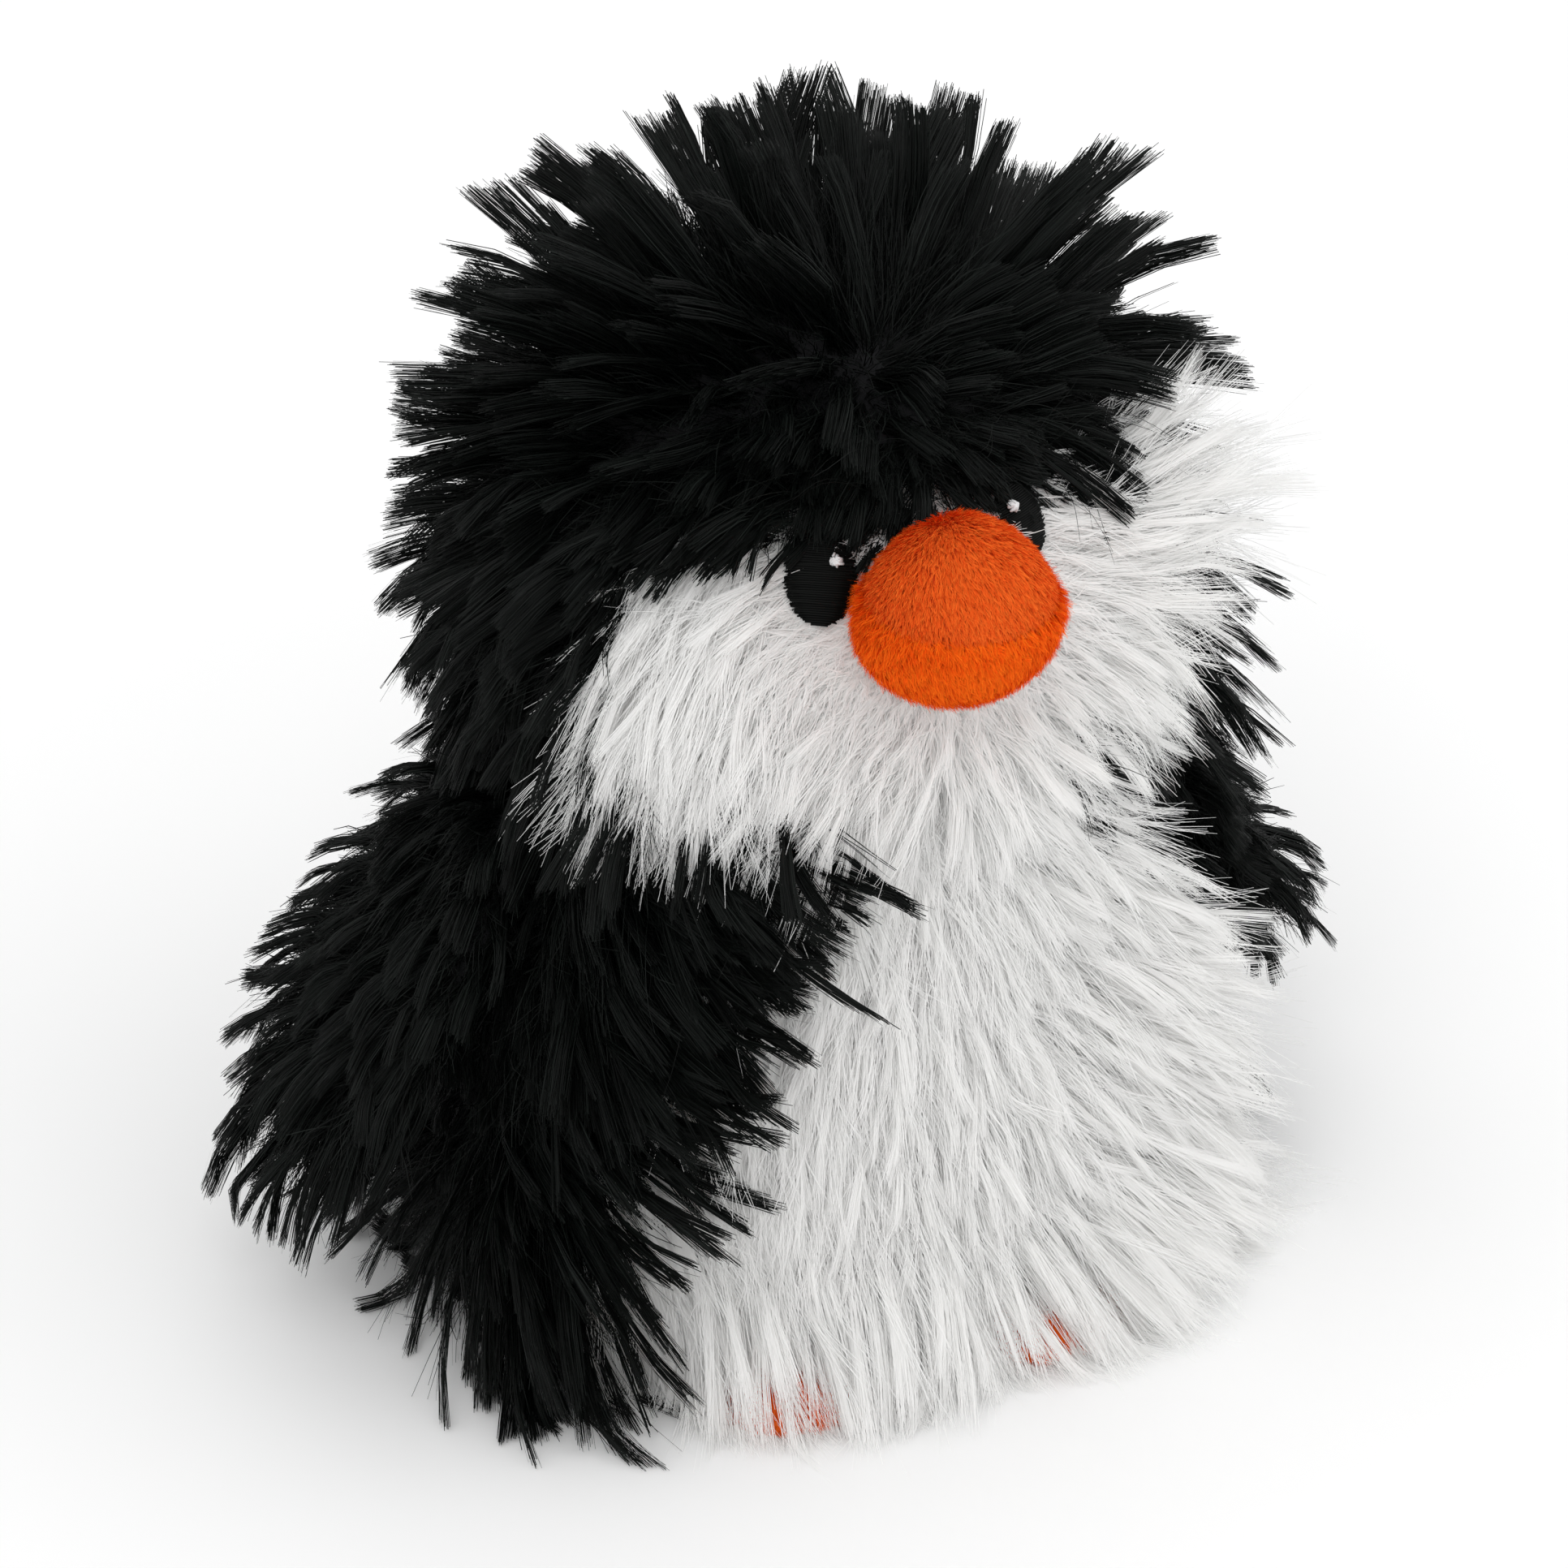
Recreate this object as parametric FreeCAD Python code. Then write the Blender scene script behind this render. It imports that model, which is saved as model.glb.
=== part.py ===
import FreeCAD, Part
import math
import os

# Plush penguin, standing. Millimetres, +Z up, the penguin looks along -Y.
# The origin is the middle of the footprint, on the surface that the toy stands on.
# Its left side is at +X and its right side is at -X.
# Long fur is drawn as a shell of pressed pile round the stuffed core of the body.

V = FreeCAD.Vector

# Fabrics
pile = 10.0                 # long fur, pressed to what a hand feels
short_pile = 2.5            # clipped fur round the eyes and the beak
backing = 1.0               # knitted backing left where the pile is parted
minky = 2.5                 # short plush of the beak
foot_fabric = 1.8           # short plush of the feet
base_thickness = 3.0        # fabric disc under the body

# Body
axis_y = 6.0                # the body's upright axis stands behind the footprint's centre
reach = 200.0               # longer than the toy, for cutting solids

# Height, half width and half depth of the stuffed core, from the base seam to the crown
core_profile = [
    (base_thickness, 48.0, 36.0),
    (9.0, 55.5, 41.5),
    (22.0, 60.0, 45.0),
    (40.0, 60.0, 46.0),
    (60.0, 55.0, 44.5),
    (78.0, 48.5, 42.5),
    (94.0, 46.0, 43.0),
    (109.0, 47.0, 45.0),
    (124.0, 47.5, 46.0),
    (138.0, 45.0, 44.0),
    (150.0, 38.5, 38.0),
    (160.0, 28.0, 28.0),
    (166.5, 15.5, 15.5),
    (169.0, 4.0, 4.0),
]

# Seams
hood_front_height = 166.0   # brow seam, on the forehead
hood_slope = 0.62           # the hood's edge drops towards the nape
cheek_angle = 62.0          # each cheek reaches this far round from the middle of the face
jaw_front_height = 112.0    # seam under the chin
jaw_slope = 0.35            # it rises towards the ears
bib_top_half_width = 20.0
bib_bottom_half_width = 50.0
bib_full_height = 42.0      # the bib is at its widest up to here
head_front = axis_y - 46.0

# Face
face_height = 146.0
face_half_width = 27.0
face_half_height = 18.5
beak_center = V(0, axis_y - 52.0, 146.5)
beak_radii = V(17.5, 16.0, 16.0)
eye_offset = 16.2           # sideways from the middle of the face
eye_height = 146.3
eye_half_height = 7.0
eye_half_width = 5.3
eye_thread = 1.2            # satin stitches stand this far off the fabric
glint_thread = 0.6
glint_radius = 1.5
glint_inward = 1.8
glint_up = 2.9

# Flippers
flipper_hinge_x = 53.5
flipper_hinge_y = axis_y + 4.0
flipper_hinge_z = 92.0
flipper_splay = 28.0        # degrees out from hanging straight down
flipper_drop = 30.0         # middle of the flipper, along it from the hinge
flipper_radii = V(7.0, 22.0, 36.0)
flipper_fabric = 4.0        # fur and backing of a flipper panel
flipper_room = 3.0          # the body's pile is pressed back this far round a flipper
flipper_pocket = 28.0       # and this far round its hinge

# Feet
foot_offset = 22.5
foot_center_y = axis_y - 49.0
foot_radii = V(14.0, 10.5, 10.5)
foot_heel = 4.5             # the heel seam, behind the foot's middle
foot_notch_height = 17.5
foot_notch_half_width = 15.5


def ring(height, half_width, half_depth):
    """An elliptical edge round the body's axis."""
    ellipse = Part.Ellipse(V(0, axis_y, height), half_width, half_depth)
    return Part.Wire([ellipse.toShape()])


def body_solid(distance):
    """The core grown outward along its own profile by a distance."""
    rings = []
    last = len(core_profile) - 1
    for index, (height, half_width, half_depth) in enumerate(core_profile):
        below = core_profile[max(index - 1, 0)]
        above = core_profile[min(index + 1, last)]
        rise = above[0] - below[0]
        spread = above[1] - below[1]
        length = math.hypot(rise, spread)
        up = -distance * spread / length
        out = distance * rise / length
        rings.append(ring(height + up, half_width + out, half_depth + out))
    return Part.makeLoft(rings, True, False)


def ellipsoid(center, radii):
    """A closed ellipsoid with its radii along X, Y and Z."""
    matrix = FreeCAD.Matrix()
    matrix.scale(radii)
    shape = Part.makeSphere(1.0).transformGeometry(matrix)
    shape.translate(center)
    return shape


def box(low, high):
    """A box between two corners."""
    size = high - low
    return Part.makeBox(size.x, size.y, size.z, low)


def prism(points, direction):
    """A closed outline pushed along a direction."""
    return Part.Face(Part.makePolygon(points + points[:1])).extrude(direction)


def above_plane(point, slope):
    """Everything above a plane through a point that climbs by slope for each unit of +Y."""
    block = box(V(-reach, -2 * reach, 0), V(reach, 2 * reach, 2 * reach))
    block.rotate(V(0, 0, 0), V(1, 0, 0), math.degrees(math.atan(slope)))
    block.translate(point)
    return block


def elliptical_plug(center, outward, half_height, half_width):
    """An elliptical bar through a point of the face, square to the outward direction."""
    bar_half_length = 9.0
    ellipse = Part.Ellipse(V(0, 0, -bar_half_length), half_height, half_width)
    bar = Part.Face(Part.Wire([ellipse.toShape()])).extrude(V(0, 0, 2 * bar_half_length))
    side = V(0, 0, 1).cross(outward).normalize()
    upward = outward.cross(side).normalize()
    turn = FreeCAD.Rotation(upward, side * -1, outward, "ZXY")
    bar.Placement = FreeCAD.Placement(center, turn)
    return bar


def flipper_blank(side, inset):
    """A flipper's whole form, drawn in by a distance and hung at its hinge."""
    radii = flipper_radii - V(inset, inset, inset)
    shape = ellipsoid(V(0, 0, -flipper_drop), radii)
    shape.rotate(V(0, 0, 0), V(0, 1, 0), -side * flipper_splay)
    shape.translate(V(side * flipper_hinge_x, flipper_hinge_y, flipper_hinge_z))
    return shape


def foot_blank(side, inset):
    """A foot's rounded form, drawn in by a distance, from the toe to the heel seam."""
    radii = foot_radii - V(inset, inset, inset)
    center = V(side * foot_offset, foot_center_y, 0)
    heel = foot_center_y + foot_heel - inset / 2
    block = box(V(-reach, -reach, 0), V(reach, heel, reach))
    return ellipsoid(center, radii).common(block)


def export(name, shape):
    """One named piece in its own file."""
    shape.exportStep("parts/" + name + ".step")
    solids = len(shape.Solids)
    print("%-28s solids %d  volume %9.1f  valid %s" % (name, solids, shape.Volume, shape.isValid()))


def make_base():
    """The fabric disc that the toy stands on."""
    _, half_width, half_depth = core_profile[0]
    return Part.Face(ring(0, half_width, half_depth)).extrude(V(0, 0, base_thickness))


def make_wall(core, base):
    """The whole shell of fur, with its pile parted for the face, the flippers and the feet."""
    ground = box(V(-reach, -reach, 0), V(reach, reach, 2 * reach))
    outer = body_solid(pile).common(ground)
    thin = body_solid(backing)
    clipped = body_solid(short_pile)

    face_outline = Part.Ellipse(V(0, 0, 0), face_half_width, face_half_height).toShape()
    face = Part.Face(Part.Wire([face_outline])).extrude(V(0, 0, reach))
    face.rotate(V(0, 0, 0), V(1, 0, 0), 90)
    face.translate(V(0, axis_y - 5.0, face_height))
    cutters = [core, base, face.cut(clipped)]

    parted = []
    for side in (-1, 1):
        hinge = V(side * flipper_hinge_x, flipper_hinge_y, flipper_hinge_z)
        parted.append(Part.makeSphere(flipper_pocket, hinge))
        parted.append(flipper_blank(side, -flipper_room))
        low = V(side * foot_offset - foot_notch_half_width, -reach, -1)
        high = V(side * foot_offset + foot_notch_half_width, axis_y - 25.0, foot_notch_height)
        parted.append(box(low, high))
    cutters += [shape.cut(thin) for shape in parted]
    return outer.cut(cutters)


def make_panels(wall):
    """The fur shell divided along its seams."""
    hood_side = above_plane(V(0, head_front, hood_front_height), -hood_slope)
    jaw_side = above_plane(V(0, head_front, jaw_front_height), jaw_slope)
    angle = math.radians(cheek_angle)
    panels = {"hood_panel": wall.common(hood_side)}
    below_hood = wall.cut(hood_side)
    rest = below_hood
    for side, name in ((-1, "right"), (1, "left")):
        ear = V(side * reach * math.sin(angle), axis_y - reach * math.cos(angle), 0)
        wedge = prism([V(0, axis_y, 0), V(0, axis_y - reach, 0), ear], V(0, 0, reach))
        cheek_side = wedge.common(jaw_side)
        panels["cheek_panel_" + name] = below_hood.common(cheek_side)
        rest = rest.cut(cheek_side)

    top = face_height
    bib = prism(
        [
            V(-bib_bottom_half_width, axis_y, 0),
            V(bib_bottom_half_width, axis_y, 0),
            V(bib_bottom_half_width, axis_y, bib_full_height),
            V(bib_top_half_width, axis_y, jaw_front_height),
            V(bib_top_half_width, axis_y, top),
            V(-bib_top_half_width, axis_y, top),
            V(-bib_top_half_width, axis_y, jaw_front_height),
            V(-bib_bottom_half_width, axis_y, bib_full_height),
        ],
        V(0, -reach, 0),
    )
    panels["belly_panel"] = rest.common(bib)
    rest = rest.cut(bib)
    for side, name in ((-1, "right"), (1, "left")):
        half = box(V(min(0, side * reach), -reach, -1), V(max(0, side * reach), reach, reach))
        panels["back_panel_" + name] = rest.common(half)
    return panels


def make_beak(clipped):
    """Two sewn panels of short plush round a ball of filling."""
    outer = ellipsoid(beak_center, beak_radii).cut(clipped)
    inner = ellipsoid(beak_center, beak_radii - V(minky, minky, minky)).cut(clipped)
    seam = box(V(-reach, -reach, beak_center.z), V(reach, reach, reach))
    skin = outer.cut(inner)
    return {
        "beak_upper_panel": skin.common(seam),
        "beak_lower_panel": skin.cut(seam),
        "beak_stuffing": inner,
    }


def make_eyes(clipped):
    """Satin-stitched eyes, each with a small white stitch on it."""
    thread_top = body_solid(short_pile + eye_thread)
    glint_top = body_solid(short_pile + eye_thread + glint_thread)
    beak = ellipsoid(beak_center, beak_radii)
    eyes = {}
    for side, name in ((-1, "right"), (1, "left")):
        outward = V(side * eye_offset, -35.0, 27.0).normalize()
        center = V(side * eye_offset, axis_y - 36.0, eye_height)
        plug = elliptical_plug(center, outward, eye_half_height, eye_half_width)
        eyes["eye_" + name] = plug.common(thread_top.cut(clipped)).cut(beak)
        inward = V(-side * glint_inward, 0, glint_up)
        spot = elliptical_plug(center + inward, outward, glint_radius, glint_radius * 0.9)
        eyes["eye_glint_" + name] = spot.common(glint_top.cut(thread_top))
    return eyes


def make_flipper(side, name):
    """Two panels sewn round the edge, over a thin filling."""
    outer = flipper_blank(side, 0)
    inner = flipper_blank(side, flipper_fabric)
    skin = outer.cut(inner)
    away = box(V(0, -reach, -reach), V(reach, reach, reach))
    if side < 0:
        away = box(V(-reach, -reach, -reach), V(0, reach, reach))
    away.rotate(V(0, 0, 0), V(0, 1, 0), -side * flipper_splay)
    away.translate(V(side * flipper_hinge_x, flipper_hinge_y, flipper_hinge_z))
    return {
        "flipper_outer_panel_" + name: skin.common(away),
        "flipper_inner_panel_" + name: skin.cut(away),
        "flipper_stuffing_" + name: inner,
    }


def make_foot(side, name):
    """A rounded upper and a flat sole sewn round a filling."""
    outer = foot_blank(side, 0)
    inner = foot_blank(side, foot_fabric)
    above_sole = box(V(-reach, -reach, foot_fabric), V(reach, reach, reach))
    return {
        "foot_upper_panel_" + name: outer.cut(inner).common(above_sole),
        "foot_sole_" + name: outer.cut(above_sole),
        "foot_stuffing_" + name: inner.common(above_sole),
    }


def main():
    core = body_solid(0)
    base = make_base()
    clipped = body_solid(short_pile)
    pieces = {"body_stuffing": core, "base_panel": base}
    pieces.update(make_panels(make_wall(core, base)))
    pieces.update(make_beak(clipped))
    pieces.update(make_eyes(clipped))
    for side, name in ((-1, "right"), (1, "left")):
        pieces.update(make_flipper(side, name))
        pieces.update(make_foot(side, name))

    os.makedirs("parts", exist_ok=True)
    for name, shape in pieces.items():
        export(name, shape)


main()
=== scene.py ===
import math
from types import SimpleNamespace

import bmesh
import bpy
import numpy as np
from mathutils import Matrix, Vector
from mathutils.bvhtree import BVHTree
from mathutils.kdtree import KDTree


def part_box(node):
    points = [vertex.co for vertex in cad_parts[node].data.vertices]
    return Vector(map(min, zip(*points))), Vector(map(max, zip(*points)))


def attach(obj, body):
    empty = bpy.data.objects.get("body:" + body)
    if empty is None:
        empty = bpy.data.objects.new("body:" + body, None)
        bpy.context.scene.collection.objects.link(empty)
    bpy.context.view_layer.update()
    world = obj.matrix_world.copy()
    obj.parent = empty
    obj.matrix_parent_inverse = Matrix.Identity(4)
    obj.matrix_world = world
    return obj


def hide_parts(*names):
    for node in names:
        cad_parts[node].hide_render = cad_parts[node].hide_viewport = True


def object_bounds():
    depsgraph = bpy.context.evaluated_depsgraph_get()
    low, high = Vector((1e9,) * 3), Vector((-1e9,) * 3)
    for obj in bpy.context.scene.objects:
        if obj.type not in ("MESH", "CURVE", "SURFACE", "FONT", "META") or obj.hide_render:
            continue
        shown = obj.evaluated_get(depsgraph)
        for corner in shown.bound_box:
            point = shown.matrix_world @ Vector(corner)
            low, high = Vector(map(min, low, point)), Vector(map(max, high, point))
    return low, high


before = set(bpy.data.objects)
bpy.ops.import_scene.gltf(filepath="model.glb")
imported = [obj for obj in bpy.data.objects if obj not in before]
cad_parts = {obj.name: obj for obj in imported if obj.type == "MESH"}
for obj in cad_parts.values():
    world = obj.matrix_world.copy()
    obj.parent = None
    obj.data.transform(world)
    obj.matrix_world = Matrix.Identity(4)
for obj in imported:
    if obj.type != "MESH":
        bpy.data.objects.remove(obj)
cad_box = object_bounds()

# Shapes are worked out in millimetres, in the CAD's frame, and turned into metres as meshes.
MM = 0.001
SIDES = (("right", -1), ("left", 1))


# ---------------- sizes

def node_box(name):
    """A CAD node's corners in millimetres."""
    low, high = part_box(name)
    return np.array(low) / MM, np.array(high) / MM


core_low, core_high = node_box("body_stuffing")
AXIS_Y = (core_low[1] + core_high[1]) / 2  # the body's upright axis
HEAD_CENTRE = np.array([0.0, AXIS_Y, 118.0])
HEAD_FRONT = AXIS_Y - 46.0
BACKING = 0.8  # knitted backing over the filling

HOOD_FRONT = 166.0  # brow seam's height on the forehead
HOOD_SLOPE = -0.62
CHEEK_ANGLE = math.radians(62)
JAW_FRONT = 112.0
JAW_SLOPE = 0.35
BIB_TOP = 20.0  # half widths of the white bib
BIB_BOTTOM = 50.0
BIB_FULL = 42.0  # the bib is at its widest up to here
CROWN = np.array([3.0, AXIS_Y - 13.0, 165.0])  # the whorl that the hood's fur grows from

BEAK_CENTRE = np.array([0.0, AXIS_Y - 52.0, 146.5])
BEAK_RADII = np.array([17.5, 16.0, 16.0])
BEAK_SEAM = 2.6  # the seam's height over the beak's centre
BEAK_PILE = 2.4  # the CAD's beak has this much of the pile in it
# The eyes are stitched by hand, so they aren't quite alike.
EYE_OUT = 16.2
EYE_UP = 146.3
EYE_RADII = {"right": (5.2, 7.0), "left": (4.2, 5.5)}  # half width and half height
EYE_RAISED = {"right": 0.0, "left": 2.1}
GLINT_PLACE = {"right": (2.3, 2.3), "left": (1.8, 2.7)}  # how far inward and up the white loops sit

FLIPPER_HINGE = np.array([53.5, AXIS_Y + 4.0, 92.0])
FLIPPER_SPLAY = math.radians(28)
FLIPPER_DROP = 30.0
FLIPPER_RADII = np.array([7.0, 22.0, 36.0])
FLIPPER_PILE = 3.0  # the CAD's flipper has this much of the fur in it

FOOT_CENTRE = np.array([22.5, AXIS_Y - 49.0, 0.0])
FOOT_RADII = np.array([14.0, 10.5, 10.5])
FOOT_HEEL = 4.5

# The fur may stand past the CAD's box by a share of each side and a margin.
GROWTH_SHARE, GROWTH_MARGIN = 0.03, 9.4
GROWTH = GROWTH_SHARE * (np.array(cad_box[1]) - np.array(cad_box[0])) / MM + GROWTH_MARGIN
FUR_LOW = np.array(cad_box[0]) / MM - GROWTH
FUR_HIGH = np.array(cad_box[1]) / MM + GROWTH
FUR_LOW[2] = 0.35  # fur lies on the floor, and not in it


# ---------------- vectors

def unit(v):
    return v / np.maximum(np.linalg.norm(v, axis=-1, keepdims=True), 1e-9)


def dot(a, b):
    return np.sum(a * b, axis=-1, keepdims=True)


def tangent(direction, normal):
    """A direction laid down on the surface."""
    return unit(direction - dot(direction, normal) * normal)


def vectors(x, y, z):
    """Vectors from their parts, each an array or one number."""
    return np.stack(np.broadcast_arrays(x, y, z), -1)


def smooth(x, low, high):
    """From 0 below the range to 1 above it."""
    t = np.clip((x - low) / (high - low), 0.0, 1.0)
    return t * t * (3 - 2 * t)


def fade(x, low, high):
    """From 1 below the range to 0 above it."""
    return 1 - smooth(x, low, high)


# ---------------- surfaces as grids

def grid_normals(points):
    """Outward normals of a grid whose rows climb and whose columns run round from the front."""
    around = np.roll(points, -1, axis=1) - np.roll(points, 1, axis=1)
    up = np.gradient(points, axis=0)
    return unit(np.cross(around, up))


filling_tree = BVHTree.FromObject(
    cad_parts["body_stuffing"], bpy.context.evaluated_depsgraph_get()
)


def body_grid():
    """The body's surface: level rings up to the head's middle, then rings round the crown."""
    columns, ring_gap, crown_rings = 144, 2.2, 36
    lowest, steepest = core_low[2] + 0.4, math.radians(88.5)
    angles = np.linspace(0, 2 * math.pi, columns, endpoint=False)
    rows = [(height, 0.0) for height in np.arange(lowest, HEAD_CENTRE[2], ring_gap)]
    rows += [(HEAD_CENTRE[2], elevation) for elevation in np.linspace(0.0, steepest, crown_rings)]
    points = np.zeros((len(rows), columns, 3))
    for r, (height, elevation) in enumerate(rows):
        start = Vector((0, AXIS_Y, height)) * MM
        for c, angle in enumerate(angles):
            level, rise = math.cos(elevation), math.sin(elevation)
            way = Vector((level * math.sin(angle), -level * math.cos(angle), rise))
            hit = filling_tree.ray_cast(start, way)[0]
            points[r, c] = np.array(hit) / MM
    normals = grid_normals(points)
    return points + BACKING * normals, normals


def ellipsoid_grid(radii, centre, rows=28, columns=48):
    """An ellipsoid standing on its Z axis, from the bottom up. It is open at both poles."""
    steepest = math.pi / 2 - 0.04
    tilt = np.linspace(-steepest, steepest, rows)[:, None]
    turn = np.linspace(0, 2 * math.pi, columns, endpoint=False)[None, :]
    level, rise = np.cos(tilt), np.sin(tilt)
    ball = vectors(level * np.sin(turn), -level * np.cos(turn), rise)
    return ball * radii + centre, unit(ball / radii)


def sample(grid, count, rng):
    """Random points spread evenly over a grid's area, with their normals."""
    points, normals = grid
    a, b = points[:-1], points[1:]
    across = np.roll(a, -1, axis=1) - a
    upward = b - a
    area = np.linalg.norm(np.cross(across, upward), axis=-1).ravel()
    cell = rng.choice(area.size, size=count, p=area / area.sum())
    r, c = np.divmod(cell, points.shape[1])
    c1 = (c + 1) % points.shape[1]
    u, v = rng.random((count, 1)), rng.random((count, 1))

    def blend(values):
        low = values[r, c] * (1 - u) + values[r, c1] * u
        high = values[r + 1, c] * (1 - u) + values[r + 1, c1] * u
        return low * (1 - v) + high * v

    return blend(points), unit(blend(normals))


def tree_of(points):
    tree = KDTree(len(points))
    for i, p in enumerate(points):
        tree.insert(p, i)
    tree.balance()
    return tree


def thin_out(points, spacing):
    """Which of the points to keep so that none is nearer to another than the spacing."""
    tree = tree_of(points)
    dropped = np.zeros(len(points), bool)
    kept = []
    for i, p in enumerate(points):
        if dropped[i]:
            continue
        kept.append(i)
        for _, j, _ in tree.find_range(p, spacing):
            dropped[j] = True
    return np.array(kept)


def find_roots(grid, count, chosen, spacing, rng):
    """Roots of strands on the chosen part of a grid, thinned out to the spacing."""
    points, normals = sample(grid, count, rng)
    here = chosen(points)
    points, normals = points[here], normals[here]
    kept = thin_out(points, spacing)
    return points[kept], normals[kept]


def ring_quads(rows, columns):
    """The faces of a grid whose columns close in rings."""
    r, c = np.meshgrid(np.arange(rows - 1), np.arange(columns), indexing="ij")
    d = (c + 1) % columns
    corners = [r * columns + c, r * columns + d, (r + 1) * columns + d, (r + 1) * columns + c]
    return np.stack(corners, -1).reshape(-1, 4)


def disc_faces(rings, columns, flipped):
    """Triangles round the first point, then quads between the rings that follow it."""
    faces = []
    for c in range(columns):
        d = (c + 1) % columns
        faces.append((0, 1 + d, 1 + c))
        for k in range(rings - 1):
            a, b = 1 + k * columns, 1 + (k + 1) * columns
            faces.append((a + c, a + d, b + d, b + c))
    if flipped:
        faces = [(face[0], *face[:0:-1]) for face in faces]
    return faces


# ---------------- panels of the body

PANELS = ("hood", "cheek_right", "cheek_left", "belly", "back_right", "back_left")
HOOD, CHEEK_RIGHT, CHEEK_LEFT, BELLY, BACK_RIGHT, BACK_LEFT = range(6)


def bib_half_width(z):
    share = np.clip((z - BIB_FULL) / (JAW_FRONT - BIB_FULL), 0, 1)
    return BIB_BOTTOM + (BIB_TOP - BIB_BOTTOM) * share


def panel_of(p):
    """Each point's panel, as its place in PANELS."""
    x, y, z = p.T
    on_hood = z > HOOD_FRONT + HOOD_SLOPE * (y - HEAD_FRONT)
    above_jaw = z > JAW_FRONT + JAW_SLOPE * (y - HEAD_FRONT)
    in_front = np.arctan2(np.abs(x), AXIS_Y - y) < CHEEK_ANGLE
    on_bib = (np.abs(x) < bib_half_width(z)) & (y < AXIS_Y)
    cheek = np.where(x < 0, CHEEK_RIGHT, CHEEK_LEFT)
    back = np.where(x < 0, BACK_RIGHT, BACK_LEFT)
    below = np.where(above_jaw & in_front, cheek, np.where(on_bib, BELLY, back))
    return np.where(on_hood, HOOD, below)


def is_white(panel):
    return panel.startswith(("cheek", "belly"))


# ---------------- meshes

def add_object(name, data):
    thing = bpy.data.objects.new(name, data)
    bpy.context.scene.collection.objects.link(thing)
    return thing


def mesh_object(name, points, faces, material):
    """A mesh piece from points in millimetres."""
    mesh = bpy.data.meshes.new(name)
    mesh.from_pydata((np.asarray(points) * MM).tolist(), [], faces)
    mesh.update()
    mesh.materials.append(material)
    return add_object(name, mesh)


def patch(name, points, keep, material):
    """The part of a grid whose faces' middles satisfy keep, as a piece."""
    faces = ring_quads(*points.shape[:2])
    points = points.reshape(-1, 3)
    faces = faces[keep(points[faces].mean(1))]
    used, place = np.unique(faces, return_inverse=True)
    return mesh_object(name, points[used], place.reshape(-1, 4).tolist(), material)


def belong(piece, body, node=None):
    """Ties a piece to its body, and hides the CAD node that it stands in for."""
    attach(piece, body)
    if node:
        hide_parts(node)


def strand_mesh(name, strands, material):
    """One mesh of flat strands. Their normals are rounded, as a fibre's are."""
    path, across, facing = strands.path, strands.across, strands.facing
    count, steps = path.shape[:2]
    half = across * strands.width[..., None] / 2
    corners = np.stack([path - half, path + half], axis=2)
    corners = np.clip(corners, FUR_LOW, FUR_HIGH)
    round_by = strands.rounding[:, None, None] * across
    normals = unit(np.stack([facing - round_by, facing + round_by], axis=2))
    mesh = bpy.data.meshes.new(name)
    mesh.vertices.add(count * steps * 2)
    mesh.vertices.foreach_set("co", (corners * MM).astype(np.float32).ravel())
    first = 2 * (steps * np.arange(count)[:, None] + np.arange(steps - 1)[None, :])
    quads = np.stack([first, first + 1, first + 3, first + 2], -1).reshape(-1, 4)
    mesh.loops.add(quads.size)
    mesh.loops.foreach_set("vertex_index", quads.ravel().astype(np.int32))
    mesh.polygons.add(len(quads))
    mesh.polygons.foreach_set("loop_start", np.arange(0, quads.size, 4, dtype=np.int32))
    mesh.update(calc_edges=True)
    turned = mesh.attributes.new("custom_normal", "FLOAT_VECTOR", "POINT")
    turned.data.foreach_set("vector", normals.astype(np.float32).ravel())
    # red: the strand's own tone; green: how far along it; blue: its lock's tone
    tone = np.zeros((count, steps, 2, 4), np.float32)
    tone[..., 0] = strands.tone[:, None, None]
    tone[..., 1] = np.linspace(0, 1, steps)[None, :, None]
    tone[..., 2] = strands.lock_tone[:, None, None]
    tone[..., 3] = 1
    colour = mesh.attributes.new("strand", "FLOAT_COLOR", "POINT")
    colour.data.foreach_set("color", tone.ravel())
    mesh.materials.append(material)
    return add_object(name, mesh)


def pick(strands, chosen):
    """Some of the strands."""
    return SimpleNamespace(**{key: value[chosen] for key, value in vars(strands).items()})


def join(groups):
    """Several groups of strands as one. They have the same number of steps."""
    keys = vars(groups[0]).keys()
    return SimpleNamespace(**{key: np.concatenate([vars(g)[key] for g in groups]) for key in keys})


# ---------------- fur

def ripple(seed, size):
    """A smooth random field over space, about as strong as a normal distribution."""
    rng = np.random.default_rng(seed)
    count = 10
    waves = unit(rng.normal(0, 1, (count, 3))) * 2 * math.pi / size
    waves = waves * rng.uniform(0.6, 1.5, (count, 1))
    phases = rng.uniform(0, 2 * math.pi, count)
    return lambda p: np.sin(p @ waves.T + phases).sum(1, keepdims=True) / math.sqrt(count / 2)


flow_ripple = ripple(3, 46.0)
lift_ripple = ripple(4, 34.0)
length_ripple = ripple(5, 26.0)


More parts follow.
